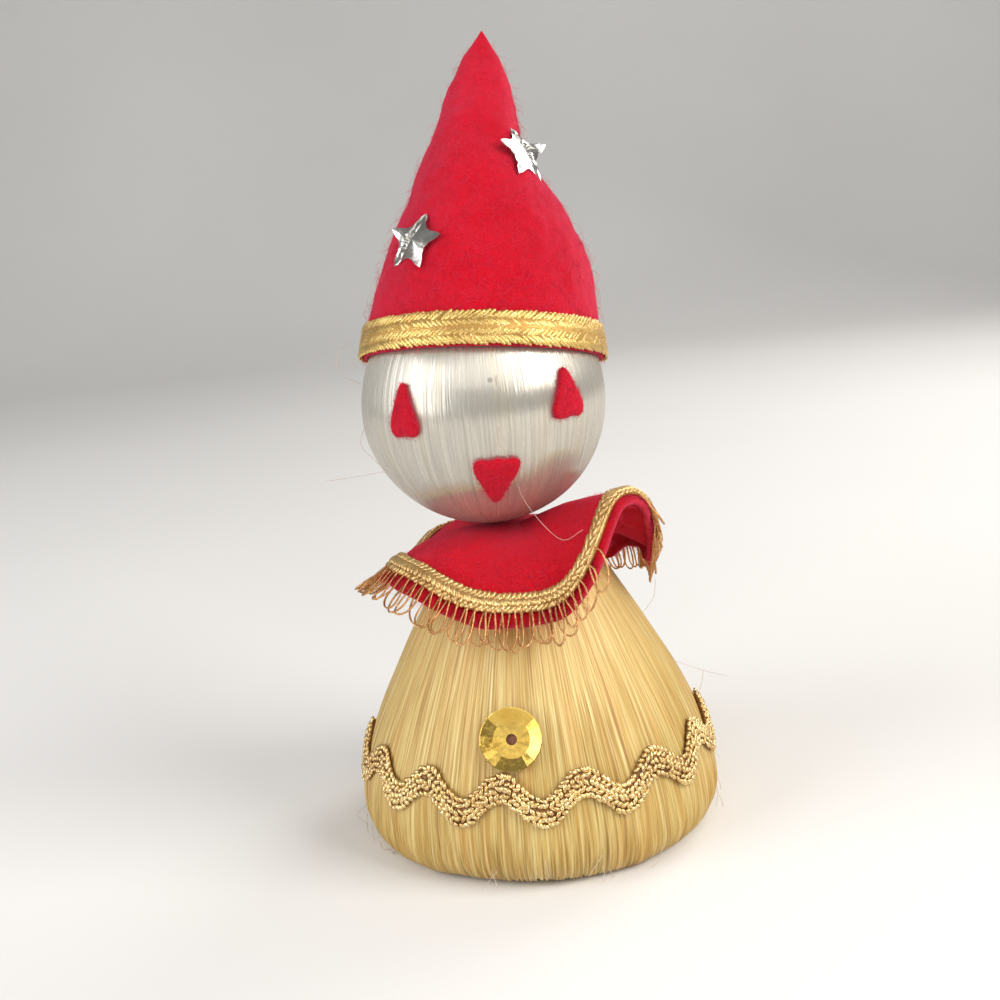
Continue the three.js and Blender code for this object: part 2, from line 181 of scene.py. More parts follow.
def lobes(centres, turns, long, wide, high, sides):
    """Points, as along, across and off a flat sheet, and faces of plump blunt stitches that lie on it."""
    n = len(centres)
    rings, blunt = 4, 2.4
    t = np.concatenate([[-1], np.linspace(-0.86, 0.86, rings), [1]])
    girth = np.sqrt(np.maximum(1 - np.abs(t) ** blunt, 0))
    angles = (np.arange(sides) + 0.5) * 2 * math.pi / sides
    x = np.concatenate([[t[0]], np.repeat(t[1:-1], sides), [t[-1]]])
    y = np.concatenate([[0], (girth[1:-1, None] * np.cos(angles)).ravel(), [0]])
    z = np.concatenate([[0], (girth[1:-1, None] * np.sin(angles)).ravel(), [0]])
    long, wide, high, turns = (np.broadcast_to(v, n)[:, None] for v in (long, wide, high, turns))
    u, v = x * long / 2, y * wide / 2
    cos, sin = np.cos(np.radians(turns)), np.sin(np.radians(turns))
    points = np.stack([
        centres[:, :1] + u * cos - v * sin,
        centres[:, 1:2] + u * sin + v * cos,
        centres[:, 2:] + z * high / 2,
    ], axis=-1)
    size = points.shape[1]
    k = np.arange(sides)
    after = (k + 1) % sides
    last = size - 1 - sides
    start = np.arange(n)[:, None, None] * size
    fans = [
        np.stack([np.zeros_like(k), 1 + after, 1 + k], axis=-1),
        np.stack([np.full_like(k, size - 1), last + k, last + after], axis=-1),
    ]
    rows = []
    for a in range(1, last, sides):
        rows.append(np.stack([a + k, a + after, a + sides + after, a + sides + k], axis=-1))
    faces = [
        (start + np.concatenate(fans)).reshape(-1, 3),
        (start + np.concatenate(rows)).reshape(-1, 4),
    ]
    return points.reshape(-1, 3), faces


def joined(*parts):
    """One piece's points and faces from several (points, faces) pairs."""
    points, faces, shift = [], [], 0
    for p, f in parts:
        points.append(p)
        faces += [g + shift for g in (f if isinstance(f, list) else [f])]
        shift += len(p)
    return np.concatenate(points), faces


def fuzz(roots, normals, seed, length, lift, radius):
    """Short curled fibres that start on a surface and mostly lie along it."""
    r = np.random.default_rng(seed)
    n = len(roots)
    along = unit(np.cross(normals, r.normal(size=(n, 3))))
    side = np.cross(normals, along)
    reach = length * r.uniform(0.45, 1.3, (n, 1))
    rise = lift * r.uniform(0.1, 1.0, (n, 1)) ** 1.6
    curl = r.uniform(-0.6, 0.6, (n, 1))
    t = np.linspace(0, 1, 4)
    paths = roots[:, None] + (
        along[:, None] * (t[:, None] * reach[:, None])
        + side[:, None] * (np.sin(t * 2.6)[:, None] * (curl * reach)[:, None])
        + normals[:, None] * (np.sin(t * 2.4)[:, None] * rise[:, None] - 0.03)
    )
    thick = radius * r.uniform(0.7, 1.3, (n, 1)) * (1 - 0.75 * t ** 2)
    return tubes(paths, thick, 3, first_up=normals)


# The bell's outline

def bezier(corners, t):
    """Points at the shares t of the curve that its control corners pull."""
    corners = [np.array(c, float) for c in corners]
    while len(corners) > 1:
        corners = [a + (b - a) * t[:, None] for a, b in zip(corners[:-1], corners[1:])]
    return corners[0]


def body_outline(corner_rows, flare_rows, shoulder_rows):
    """The bell's outline as [radius, height] rows, from its underside's edge to the middle of its top."""
    angle = np.linspace(-math.pi / 2, 0, corner_rows + 1)
    flat = BELLY_RADIUS - CORNER
    corner = np.stack([flat + CORNER * np.cos(angle), BELLY_HEIGHT * (1 + np.sin(angle))], axis=1)
    shoulder = (SHOULDER_RADIUS, SHOULDER_HEIGHT)
    flare = bezier([
        (BELLY_RADIUS, BELLY_HEIGHT), (BELLY_RADIUS, BELLY_HEIGHT + BELLY_PULL),
        (SHOULDER_RADIUS + SHOULDER_OUT, SHOULDER_HEIGHT - SHOULDER_DOWN), shoulder,
    ], np.linspace(0, 1, flare_rows + 1))
    cap = bezier([shoulder, (SHOULDER_RADIUS - CAP, TOP), (0, TOP)], np.linspace(0, 1, shoulder_rows + 1))
    return np.concatenate([corner, flare[1:], cap[1:]])


BELL_SIDE = body_outline(24, 120, 12)[:24 + 120 + 1]


def body_radius(height):
    return np.interp(height, BELL_SIDE[:, 1], BELL_SIDE[:, 0])


def body_slope(height):
    """How far the bell's side leans in, in radians from upright."""
    return np.arctan2(body_radius(height - 0.5) - body_radius(height + 0.5), 1.0)


# Procedural looks

def tone(red, green, blue):
    """A linear colour from the 0-255 values that a screen shows."""
    c = np.array([red, green, blue]) / 255
    return (*np.where(c <= 0.04045, c / 12.92, ((c + 0.055) / 1.055) ** 2.4), 1.0)


class Look:
    """A node material around one Principled shader."""

    def __init__(self, name, **values):
        self.material = bpy.data.materials.new(name)
        self.material.use_nodes = True
        self.tree = self.material.node_tree
        self.shader = self.tree.nodes["Principled BSDF"]
        for key, value in values.items():
            self.shader.inputs[key.replace("_", " ")].default_value = value

    def node(self, kind, inputs=(), **settings):
        made = self.tree.nodes.new("ShaderNode" + kind)
        for key, value in settings.items():
            setattr(made, key, value)
        for key, value in dict(inputs).items():
            if isinstance(value, bpy.types.NodeSocket):
                self.tree.links.new(value, made.inputs[key])
            else:
                made.inputs[key].default_value = value
        return made

    def place(self):
        """The point on the object, in millimetres."""
        spot = self.node("TexCoord").outputs["Object"]
        return self.vector("SCALE", spot, scale=1 / MM)

    def vector(self, operation, a, b=None, scale=None):
        made = self.node("VectorMath", {0: a}, operation=operation)
        if b is not None:
            if isinstance(b, bpy.types.NodeSocket):
                self.tree.links.new(b, made.inputs[1])
            else:
                made.inputs[1].default_value = b
        if scale is not None:
            made.inputs["Scale"].default_value = scale
        return made.outputs["Vector"]

    def math(self, operation, a, b):
        return self.node("Math", {0: a, 1: b}, operation=operation).outputs[0]

    def noise(self, spot, scale, detail=2.0, rough=0.5, warp=0.0):
        made = self.node("TexNoise", {
            "Vector": spot, "Scale": scale, "Detail": detail, "Roughness": rough, "Distortion": warp,
        })
        return made.outputs["Fac"]

    def ramp(self, factor, *stops):
        """Colours by factor, from (place, colour) pairs."""
        made = self.node("ValToRGB", {"Fac": factor})
        elements = made.color_ramp.elements
        while len(elements) < len(stops):
            elements.new(0.5)
        for element, (spot, color) in zip(elements, stops):
            element.position = spot
            element.color = color if hasattr(color, "__len__") else (color, color, color, 1)
        return made.outputs["Color"]

    def mix(self, factor, a, b, blend="MIX"):
        made = self.node("Mix", data_type="RGBA", blend_type=blend)
        for socket, value in ((made.inputs[0], factor), (made.inputs[6], a), (made.inputs[7], b)):
            if isinstance(value, bpy.types.NodeSocket):
                self.tree.links.new(value, socket)
            else:
                socket.default_value = value
        return made.outputs[2]

    def bump(self, height, depth, below=None):
        made = self.node("Bump", {"Height": height, "Strength": 1.0, "Distance": depth * MM})
        if below is not None:
            self.tree.links.new(below, made.inputs["Normal"])
        return made.outputs["Normal"]

    def link(self, **sockets):
        for key, value in sockets.items():
            self.tree.links.new(value, self.shader.inputs[key.replace("_", " ")])
        return self.material


def satin(name, centre, threads, dark, base, bright, streak, warm, gloss, metal, marks):
    """Satin thread laid from pole to pole: streaks and shine follow the meridians. Marks are dark spots."""
    look = Look(name, Metallic=metal, Anisotropic=0.85, Sheen_Weight=0.08, Sheen_Roughness=0.4,
                Specular_IOR_Level=0.6)
    spot = look.vector("SUBTRACT", look.place(), centre)
    around = look.vector("NORMALIZE", look.vector("MULTIPLY", spot, (1, 1, 0)))
    height = look.vector("MULTIPLY", spot, (0, 0, 1))

    def streaks(count, stretch, detail=2.0, rough=0.55):
        wide = look.vector("SCALE", around, scale=count / (2 * math.pi))
        tall = look.vector("SCALE", height, scale=1 / stretch)
        return look.noise(look.vector("ADD", wide, tall), 1.0, detail, rough)

    fine = streaks(threads * 1.3, 12.0, 3.0, 0.65)
    broad = streaks(threads / 7, 20.0, 2.0)
    lone = streaks(threads / 1.2, 26.0, 1.0)
    dull = streaks(threads / 1.6, 22.0, 1.0)
    color = look.ramp(fine, (0.28, dark), (0.46, base), (0.74, bright))
    color = look.mix(look.ramp(broad, (0.52, 0.0), (0.72, 0.4)), color, warm)
    color = look.mix(look.ramp(dull, (0.62, 0.0), (0.7, 0.6)), color, streak)
    color = look.mix(look.ramp(lone, (0.66, 0.0), (0.74, 0.7)), color, bright)
    for at, size, tint in marks:
        away = look.node("VectorMath", {0: look.place(), 1: at}, operation="DISTANCE").outputs["Value"]
        color = look.mix(look.ramp(look.math("DIVIDE", away, size), (0.55, 1.0), (0.95, 0.0)), color, tint)
    rough = look.ramp(fine, (0.3, gloss + 0.12), (0.7, gloss - 0.04))
    tangent = look.node("Tangent", direction_type="RADIAL", axis="Z").outputs[0]
    return look.link(Base_Color=color, Roughness=rough, Normal=look.bump(fine, 0.02), Tangent=tangent)


def felt(name, deep, base, light, sheen=0.5, tint=(1.0, 0.25, 0.45, 1)):
    """Matt pressed felt: matted fibres in every direction and faint clouding."""
    look = Look(name, Roughness=0.95, Sheen_Weight=sheen, Sheen_Roughness=0.4, Sheen_Tint=tint,
                Specular_IOR_Level=0.1)
    spot = look.place()
    fibre = look.noise(spot, 2.6, 5.0, 0.72, 1.6)
    wisps = look.noise(look.vector("MULTIPLY", spot, (2.2, 1.0, 0.8)), 3.4, 3.0, 0.6, 2.4)
    cloud = look.noise(spot, 0.16, 3.0)
    color = look.ramp(fibre, (0.3, deep), (0.5, base), (0.74, light))
    color = look.mix(look.ramp(wisps, (0.6, 0.0), (0.74, 0.5)), color, light)
    color = look.mix(look.ramp(cloud, (0.4, 0.0), (0.68, 0.35)), color, deep)
    normal = look.bump(wisps, 0.1, look.bump(fibre, 0.16))
    return look.link(Base_Color=color, Normal=normal)


def metallic_yarn(name, deep, base, bright, rough, metal=0.85, scale=3.0):
    """Tarnished metallic yarn, its wound foil in fine turns."""
    look = Look(name, Metallic=metal, Roughness=rough, Specular_IOR_Level=0.6)
    spot = look.place()
    turns = look.noise(spot, scale * 2.4, 3.0, 0.65, 0.6)
    cloud = look.noise(spot, 0.22, 3.0, 0.6)
    color = look.ramp(turns, (0.32, deep), (0.5, base), (0.7, bright))
    color = look.mix(look.ramp(cloud, (0.45, 0.0), (0.7, 0.5)), color, deep)
    grit = look.ramp(turns, (0.35, rough + 0.14), (0.65, rough - 0.08))
    return look.link(Base_Color=color, Roughness=grit, Normal=look.bump(turns, 0.05))


def foil(name, base, shade, rough):
    """Mirror-bright pressed film with faint scuffs."""
    look = Look(name, Metallic=1.0, Roughness=rough)
    spot = look.place()
    scuff = look.noise(spot, 1.9, 4.0, 0.7, 0.8)
    cloud = look.noise(spot, 0.45, 2.0)
    color = look.mix(look.ramp(cloud, (0.4, 0.0), (0.65, 0.7)), base, shade)
    grit = look.ramp(scuff, (0.4, rough), (0.72, rough + 0.18))
    return look.link(Base_Color=color, Roughness=grit, Normal=look.bump(cloud, 0.05))


# The thread is in shadow below the hole of the sequin, and a hair starts at a small knot over the face.
HOLE_TURN = Matrix.Rotation(math.radians(SEQUIN_AZIMUTH), 3, "Z")
HOLE_SPOT = HOLE_TURN @ Vector((body_radius(SEQUIN_HEIGHT), 0, SEQUIN_HEIGHT))
KNOT_SPOT = (-1.9, -14.2, 58.9)
YELLOW_SATIN = satin(
    "yellow_satin_thread", (0, 0, 0), 420, tone(158, 120, 56), tone(190, 156, 82), tone(226, 206, 142),
    streak=tone(146, 102, 48), warm=tone(204, 146, 66), gloss=0.4, metal=0.15,
    marks=[(HOLE_SPOT, 1.2, tone(126, 74, 44))],
)
WHITE_SATIN = satin(
    "white_satin_thread", HEAD_CENTRE, 330, tone(172, 165, 154), tone(188, 182, 170), tone(208, 203, 191),
    streak=tone(174, 169, 160), warm=tone(198, 185, 156), gloss=0.27, metal=0.6,
    marks=[(KNOT_SPOT, 0.4, tone(150, 142, 132))],
)
HAT_CLOTH = felt("red_hat_felt", tone(186, 0, 16), tone(214, 2, 26), tone(230, 26, 58), sheen=0.7)
COLLAR_CLOTH = felt("red_collar_felt", tone(178, 4, 18), tone(212, 8, 26), tone(230, 40, 58), sheen=0.35)
CUT_EDGE = felt("felt_cut_edge", tone(186, 14, 30), tone(212, 30, 48), tone(232, 80, 96), sheen=0.5)
PATCH_FELT = felt("red_patch_felt", tone(172, 6, 22), tone(208, 12, 34), tone(228, 46, 66), sheen=0.4)
RED_FUZZ = felt("red_fuzz", tone(226, 24, 50), tone(238, 46, 76), tone(244, 96, 130), sheen=0.8)
BAND_GOLD = metallic_yarn(
    "hat_band_gold", tone(166, 122, 56), tone(228, 190, 104), tone(255, 242, 186), rough=0.28)
BRAID_GOLD = metallic_yarn(
    "collar_braid_gold", tone(150, 102, 54), tone(222, 182, 112), tone(255, 240, 192), rough=0.28)
FRINGE_GOLD = metallic_yarn(
    "fringe_wire_gold", tone(134, 78, 42), tone(206, 150, 90), tone(250, 216, 164), rough=0.26, metal=0.9)
RICKRACK_GOLD = metallic_yarn(
    "rickrack_gold", tone(168, 118, 62), tone(240, 206, 132), tone(255, 250, 224), rough=0.24, scale=2.0)
BRAID_GROUND = metallic_yarn(
    "braid_ground_thread", tone(150, 108, 50), tone(196, 154, 80), tone(226, 186, 106), rough=0.45, metal=0.6)
# The dark brown look of the sheet under the rick-rack's stitches is painted shade, the shadow in the gaps
# between the stitches.
RICKRACK_GAP_SHADE = metallic_yarn(
    "rickrack_gap_painted_shade", tone(92, 58, 32), tone(136, 94, 52), tone(176, 130, 76), rough=0.45, metal=0.5)
HAIR_LOOK = felt("hair", tone(214, 188, 170), tone(232, 212, 196), tone(244, 230, 218), sheen=0.3,
                 tint=(1.0, 0.9, 0.85, 1))
GOLD_FOIL = foil("gold_foil", tone(226, 190, 96), tone(206, 164, 74), 0.17)
SILVER_FOIL = foil("silver_foil", tone(214, 212, 206), tone(170, 164, 156), 0.1)


# The bell body

def thread_relief(azimuth, along, threads, seed, wander=0.5):
    """0 on a thread's crest and down to -1 between threads, at azimuths in radians and places along them."""
    r = np.random.default_rng(seed)
    shift = np.zeros(np.broadcast(azimuth, along).shape)
    for count in (7, 13, 29, 53, 97):
        a, b, _ = r.uniform(0, 2 * math.pi, 3)
        sway = 0.8 * np.sin(along * r.uniform(0.05, 0.2) + b)
        shift = shift + np.sin(count * azimuth + a + sway) * wander
    phase = threads * azimuth / (2 * math.pi) + shift
    return -np.abs(2 * (phase - np.floor(phase)) - 1) ** 2.2


def make_body():
    outline = body_outline(9, 42, 6)
    under = np.stack([np.linspace(0.3, outline[0, 0], 7)[:-1], np.zeros(6)], axis=1)
    profile = np.concatenate([under, outline])
    profile[-1, 0] = 0.05
    gradient = np.gradient(profile, axis=0)
    normal = unit(np.stack([gradient[:, 1], -gradient[:, 0]], axis=1))
    columns = 1320
    azimuth = np.arange(columns) * 2 * math.pi / columns
    along = np.concatenate([[0], np.cumsum(np.linalg.norm(np.diff(profile, axis=0), axis=1))])
    az, run = azimuth[None], along[:, None]
    z, radius = profile[:, 1:2], profile[:, :1]
    fade = smoothstep(radius, 1.0, 9.0)
    relief = 0.05 * thread_relief(az, run, 330, 3)
    relief = relief + 0.06 * thread_relief(az, run, 92, 4, 0.9) * smoothstep(z, 40, 6)
    low = smoothstep(z, 9.5, 3.0)
    relief = relief + 0.32 * low * thread_relief(az, run, 46, 5, 0.7)
    spots = polar(radius, az, z)
    lumps = 0.16 * ripple(spots, 9.0, 6) + 0.10 * ripple(spots, 3.5, 7) - 0.2
    relief = (relief + lumps * (0.35 + 0.65 * low)) * fade
    flat = normal[:, None, :1] * np.stack([np.cos(az), np.sin(az)], axis=-1)
    rise = np.broadcast_to(normal[:, None, 1:], flat[..., :1].shape)
    points = spots + relief[..., None] * np.concatenate([flat, rise], axis=-1)
    make("bell_body", points.reshape(-1, 3), grid_faces(len(profile), columns, True), YELLOW_SATIN,
         ["body"])


def make_head():
    columns, rows = 1080, 72
    elevation = np.radians(np.linspace(-89.5, 89.5, rows))[:, None]
    azimuth = (np.arange(columns) * 2 * math.pi / columns)[None]
    relief = 0.022 * thread_relief(azimuth, elevation * HEAD_RADIUS, 236, 13)
    relief = relief + 0.025 * thread_relief(azimuth, elevation * HEAD_RADIUS, 60, 14, 0.9)
    away = polar(np.cos(elevation), azimuth, np.sin(elevation))
    relief = relief + 0.05 * ripple(away * HEAD_RADIUS, 7.0, 15) - 0.04
    relief = relief * smoothstep(np.cos(elevation), 0.04, 0.4)
    points = HEAD_CENTRE + away * (HEAD_RADIUS + relief[..., None])
    make("ball_head", points.reshape(-1, 3), grid_faces(rows, columns, True), WHITE_SATIN,
         ["head"])


# The felt triangles of the face

def patch_outline(width, height, skew, count=16):
    corners = np.array([(-width / 2, -height / 2), (width / 2, -height / 2), (skew, height / 2)])
    rounded = 0.28
    outline = []
    for i, corner in enumerate(corners):
        start = corner + (corners[i - 1] - corner) * rounded
        end = corner + (corners[(i + 1) % 3] - corner) * rounded
        outline.append(bezier([start, corner, end], np.linspace(0, 1, count)))
    dense = np.concatenate(outline + [outline[0][:1]])
    steps = np.concatenate([[0], np.cumsum(np.linalg.norm(np.diff(dense, axis=0), axis=1))])
    even = np.linspace(0, steps[-1], 97)[:-1]
    return np.stack([np.interp(even, steps, dense[:, 0]), np.interp(even, steps, dense[:, 1])], axis=1)


def on_head(x, y, off, azimuth, elevation, turn):
    """Wraps flat patch coordinates around the head."""
    c, s = math.cos(math.radians(turn)), math.sin(math.radians(turn))
    az = math.radians(azimuth) + (x * c - y * s) / (HEAD_RADIUS * math.cos(math.radians(elevation)))
    el = math.radians(elevation) + (x * s + y * c) / HEAD_RADIUS
    away = polar(np.cos(el), az, np.sin(el))
    return HEAD_CENTRE + away * (HEAD_RADIUS + off)[..., None], away


def make_patch(name, azimuth, elevation, width, height, skew, turn, seed):
    """A felt triangle with rounded corners and a soft cut edge, and its fuzz."""
    outline = patch_outline(width, height, skew)
    r = np.random.default_rng(seed)
    ragged = 1 + 0.025 * ripple(np.c_[outline, np.zeros(len(outline))], 0.8, seed)
    outline = outline * ragged[:, None]
    thickness = 0.62
    shares = np.array([0.02, 0.15, 0.3, 0.45, 0.6, 0.72, 0.82, 0.9, 0.96, 1.0, 1.02, 1.0, 0.97])
    rise = np.array([1, 1, 1, 1, 0.99, 0.97, 0.93, 0.86, 0.74, 0.55, 0.35, 0.15, -0.3])
    x = shares[:, None] * outline[:, 0]
    y = shares[:, None] * outline[:, 1]
    spots = np.stack([x, y, 0 * x], axis=-1)
    rise = rise[:, None]
    off = GAP * 0.3 + thickness * rise + 0.05 * ripple(spots, 1.1, seed + 1) * (rise > 0.1)
    points, _ = on_head(x, y, off, azimuth, elevation, turn)
    grid = grid_faces(len(shares), len(outline), True)
    cap = np.arange(len(outline))[None]
    make(name + "_felt", points.reshape(-1, 3), [grid[:, ::-1], cap], PATCH_FELT, [name])
    count = 900
    pick = r.integers(0, len(outline), count)
    share = np.sqrt(r.uniform(0, 1, count)) * 1.01
    share = np.where(r.uniform(size=count) < 0.5, r.uniform(0.93, 1.02, count), share)
    x, y = share * outline[pick, 0], share * outline[pick, 1]
    off = thickness * np.where(share > 0.93, 0.55, 0.95)
    roots, away = on_head(x, y, off, azimuth, elevation, turn)
    points, faces = fuzz(roots, away, seed + 2, 0.55, 0.22, 0.016)
    make(name + "_fuzz", points, faces, RED_FUZZ)


# The hat and all that sits on it

def tilted(points):
    """Takes points from the hat's own upright frame to their place on the head."""
    pitch, lean = math.radians(-HAT_PITCH), math.radians(HAT_LEAN)
    turn = np.array(Matrix.Rotation(lean, 3, "Y") @ Matrix.Rotation(pitch, 3, "X"))
    return points @ turn.T + HEAD_CENTRE


def hat_radius(share):
    """The hat's radius at a share of its height, on a side that bulges a little."""
    return HAT_RADIUS * (1 - np.clip(share, 0, 1) ** HAT_BULGE)


def pinched(points):
    """Flattens the hat toward its tip, from front to back."""
    amount = smoothstep((points[..., 2] - HAT_RIM) / HAT_HEIGHT, TIP_FROM, 1)
    return points * np.stack([1 + TIP_WIDEN * amount, 1 - TIP_FLATTEN * amount, 1 + 0 * amount], axis=-1)


def dent(azimuth, share):
    """How far the hat's felt is pressed in, at an azimuth in radians."""
    depth = 0
    for middle, height, deep, wide, tall in DENTS:
        around = ((np.degrees(azimuth) - middle + 180) % 360 - 180) / wide
        depth = depth + deep * np.exp(-around ** 2 - ((share - height) / tall) ** 2)
    return depth


def on_hat(azimuth, share, off):
    """A point off the hat's felt in the hat's frame, at an azimuth in radians and a share of its height."""
    radius = np.maximum(hat_radius(share) - dent(azimuth, share) + off, 0.02)
    return pinched(polar(radius, azimuth, HAT_RIM + share * HAT_HEIGHT))


def hat_relief(azimuth, share):
    """The felt's soft unevenness, and the lapped seam down the back."""
    spot = on_hat(azimuth, share, 0 * azimuth * share)
    soft = 0.32 * ripple(spot, 11.0, 21) + 0.10 * ripple(spot, 3.4, 22) + 0.05 * ripple(spot, 1.3, 23)
    seam = 100
    back = (np.degrees(azimuth) - seam + 180) % 360 - 180
    lap = 0.45 * smoothstep(back, -1.5, 0.0) * smoothstep(back, 26, 8)
    steady = smoothstep(share, 0.06, 0.2) * smoothstep(share, 1.0, 0.9)
    return soft * (0.25 + 0.75 * steady) + lap


def make_hat():
    columns = 360
    azimuth = (np.arange(columns) * 2 * math.pi / columns)[None]
    shares = np.concatenate([np.linspace(0, 0.9, 84), np.linspace(0.9, 0.995, 18)[1:]])
    inside = np.linspace(0.7, 0.0, 16)
    outer = on_hat(azimuth, shares[:, None], hat_relief(azimuth, shares[:, None]))
    inner = on_hat(azimuth, inside[:, None], 0 * azimuth - HAT_FELT)
    rim = on_hat(azimuth, np.full((1, 1), 0.0), 0 * azimuth - HAT_FELT / 2)
    rim[..., 2] -= 0.18
    walls = np.concatenate([inner, rim, outer])
    tips = [[0, 0, HAT_RIM + HAT_HOLLOW], [0, 0, HAT_RIM + HAT_HEIGHT]]
    points = np.concatenate([walls.reshape(-1, 3), tips])
    rows = len(walls)
    k = np.arange(columns)
    after = (k + 1) % columns
    last = (rows - 1) * columns
    count = rows * columns
    faces = [
        grid_faces(rows, columns, True),
        np.stack([np.full(columns, count), after, k], axis=-1),
        np.stack([np.full(columns, count + 1), last + k, last + after], axis=-1),
    ]
    hat = make("felt_hat", tilted(points), faces, HAT_CLOTH, ["hat"])
    r = np.random.default_rng(31)
    n = 6600
    az = r.uniform(-math.pi, math.pi, n)
    share = 1 - np.sqrt(r.uniform(0, 1, n))
    spot = on_hat(az, share, hat_relief(az, share))
    e = 0.02
    du = on_hat(az + e, share, 0 * az) - on_hat(az - e, share, 0 * az)
    dv = on_hat(az, share + e / 4, 0 * az) - on_hat(az, share - e / 4, 0 * az)
    normal = unit(np.cross(du, dv))
    free = r.uniform(size=(n, 1)) < 0.2
    points, faces = fuzz(spot, normal, 32, np.where(free, 2.2, 1.4), np.where(free, 1.1, 0.16), 0.015)
    make("hat_fuzz", tilted(points), faces, RED_FUZZ)
    return hat


def on_band(points):
    """Bends flat band coordinates (along the rim, up, off) around the hat's rim."""
    along, up, off = points[..., 0], points[..., 1], points[..., 2]
    radius = hat_radius((BAND_START + up) / HAT_HEIGHT) + off
    return polar(radius, along / HAT_RADIUS, HAT_RIM + BAND_START + up)


def make_band():
    """The hat's braid, four rows of slanting stitches on a ground."""
    around = 2 * math.pi * HAT_RADIUS
    rows, count = 4, 150
    pitch = around / count
    tall = BAND_WIDTH / rows
    r = np.random.default_rng(41)
    parts = []
    for row in range(rows):
        along = (np.arange(count) + 0.5 * (row // 2 % 2)) * pitch + r.normal(0, 0.03, count)
        up = tall * (row + 0.5) + r.normal(0, 0.03, count)
        centres = np.stack([along, up, GAP + BAND_THICKNESS * 0.55 + r.normal(0, 0.02, count)], axis=1)
        turn = (36 if row % 2 else -36) + r.normal(0, 5, count)
        wide = pitch * r.uniform(0.88, 1.12, count)
        points, faces = lobes(centres, turn, tall * 2.2, wide, 0.34, sides=8)
        parts.append((on_band(points), faces))
    points, faces = joined(*parts)
    band = make("hat_band_braid", tilted(points), faces, BAND_GOLD, ["hat_band"])
    az = np.linspace(0, 2 * math.pi, 361)[:-1]
    low, high, middle = 0.05, BAND_WIDTH - 0.05, BAND_WIDTH / 2
    profile = [(low, 0), (low, 0.31), (middle, 0.37), (high, 0.31), (high, 0), (low, 0)]
    rows = [np.stack([az * HAT_RADIUS, 0 * az + up, 0 * az + GAP + off], axis=-1) for up, off in profile]
    make("hat_band_ground", tilted(on_band(np.stack(rows)).reshape(-1, 3)),
         grid_faces(len(rows), len(az), True)[:, ::-1], BRAID_GROUND)
    return band


def make_star(name, azimuth, share, turn, raised, bend, seed):
    """A star pressed from film: domed, its sides a little hollow, one point bent up and creased beside it."""
    r = np.random.default_rng(seed)
    arm = 12
    rim = STAR_POINTS * arm
    around = np.arange(rim) * 2 * math.pi / rim
    toward_tip = np.abs((np.arange(rim) % arm) / arm * 2 - 1)
    side = STAR_INNER + (STAR_OUTER - STAR_INNER) * STAR_SIDE
    reach = np.interp(toward_tip, [0, 0.5, 1], [STAR_INNER, side, STAR_OUTER])
    reach = reach * np.repeat(r.uniform(0.97, 1.02, STAR_POINTS), arm)
    bent = raised * 2 * math.pi / STAR_POINTS
    toward = np.maximum(0, np.cos(around - bent))
    top = []
    for level in np.linspace(0, 1, 9):
        x, y = level * reach * np.cos(around), level * reach * np.sin(around)
        out = level * reach / STAR_OUTER
        high = STAR_DOME * (1 - out) + bend * out ** 2 * toward ** 6
        crease = x * math.cos(bent) + y * math.sin(bent)
        high = high - 0.34 * np.exp(-((crease - 0.9) / 0.3) ** 2) + 0.16 * smoothstep(crease, 0.9, 1.3)
        top.append(np.stack([x, y, high + 0.03 * toward_tip * level], axis=-1))
    top = np.stack(top)
    film = 0.14
    points = np.concatenate([top, top[-1:] - [0, 0, film]]) + np.array([0, 0, GAP * 0.6])
    wheel = np.array(Matrix.Rotation(math.radians(turn), 3, "Z"))
    at = math.radians(azimuth)
    spot = on_hat(at, share, 0.0)
    across = unit(on_hat(at + 0.017, share, 0.0) - spot)
    outward = unit(np.cross(across, on_hat(at, share + 0.01, 0.0) - spot))
    laid = np.stack([np.cross(across, outward), across, outward])
    points = tilted(points.reshape(-1, 3) @ wheel.T @ laid + spot)
    faces = grid_faces(len(top) + 1, rim, True)[:, ::-1]
    return make(name + "_film", points, faces, SILVER_FOIL, [name], smooth=False)


# The collar and its trim

def swell(azimuth, fold):
    """1 at a fold's crest, falling to 0 at either side."""
    away = (azimuth - fold[0] + 180) % 360 - 180
    spread = np.where(away < 0, fold[2], fold[3])
    return np.exp(-(np.abs(away) / spread) ** fold[4])


def collar_middle(distance, azimuth):
    """The middle of the collar's felt, at a distance along it in millimetres and an azimuth in degrees."""
    near = np.minimum(distance, BRAID_MIDDLE)
    share = np.maximum(near, 0) / BRAID_MIDDLE
    rise = -(COLLAR_DROOP + COLLAR_TILT * np.sin(np.radians(azimuth))) * share ** COLLAR_CURVE
    side = swell(azimuth, RIGHT_SIDE)
    slope = MARGIN_SLOPE + MARGIN_STEEPER * side
    for fold in FOLDS:
        rise = rise + fold[1] * share ** COLLAR_LIFT * swell(azimuth, fold)
        slope = slope - MARGIN_CREST * fold[1] * swell(azimuth, fold)
    flat = np.sqrt(np.maximum(near ** 2 - rise ** 2, 0)) * (1 - MARGIN_DRAWN_IN * side)
    slope = np.radians(slope)
    past = (distance - near) * (1 - MARGIN_NARROWER * swell(azimuth, NARROW_SIDE))
    radius = flat + past * np.cos(slope)
    az = np.radians(azimuth)
    return np.stack([
        COLLAR_SHIFT * smoothstep(distance, 0, BRAID_MIDDLE) + radius * np.cos(az),
        radius * np.sin(az),
        COLLAR_HEIGHT + rise - past * np.sin(slope),
    ], axis=-1)


def collar_normal(distance, azimuth):
    distance = np.maximum(distance, 0.5)
    outward = collar_middle(distance + 0.2, azimuth) - collar_middle(distance - 0.2, azimuth)
    around = collar_middle(distance, azimuth + 1) - collar_middle(distance, azimuth - 1)
    return unit(np.cross(outward, around))


def on_collar(distance, azimuth, off):
    return collar_middle(distance, azimuth) + collar_normal(distance, azimuth) * np.asarray(off)[..., None]


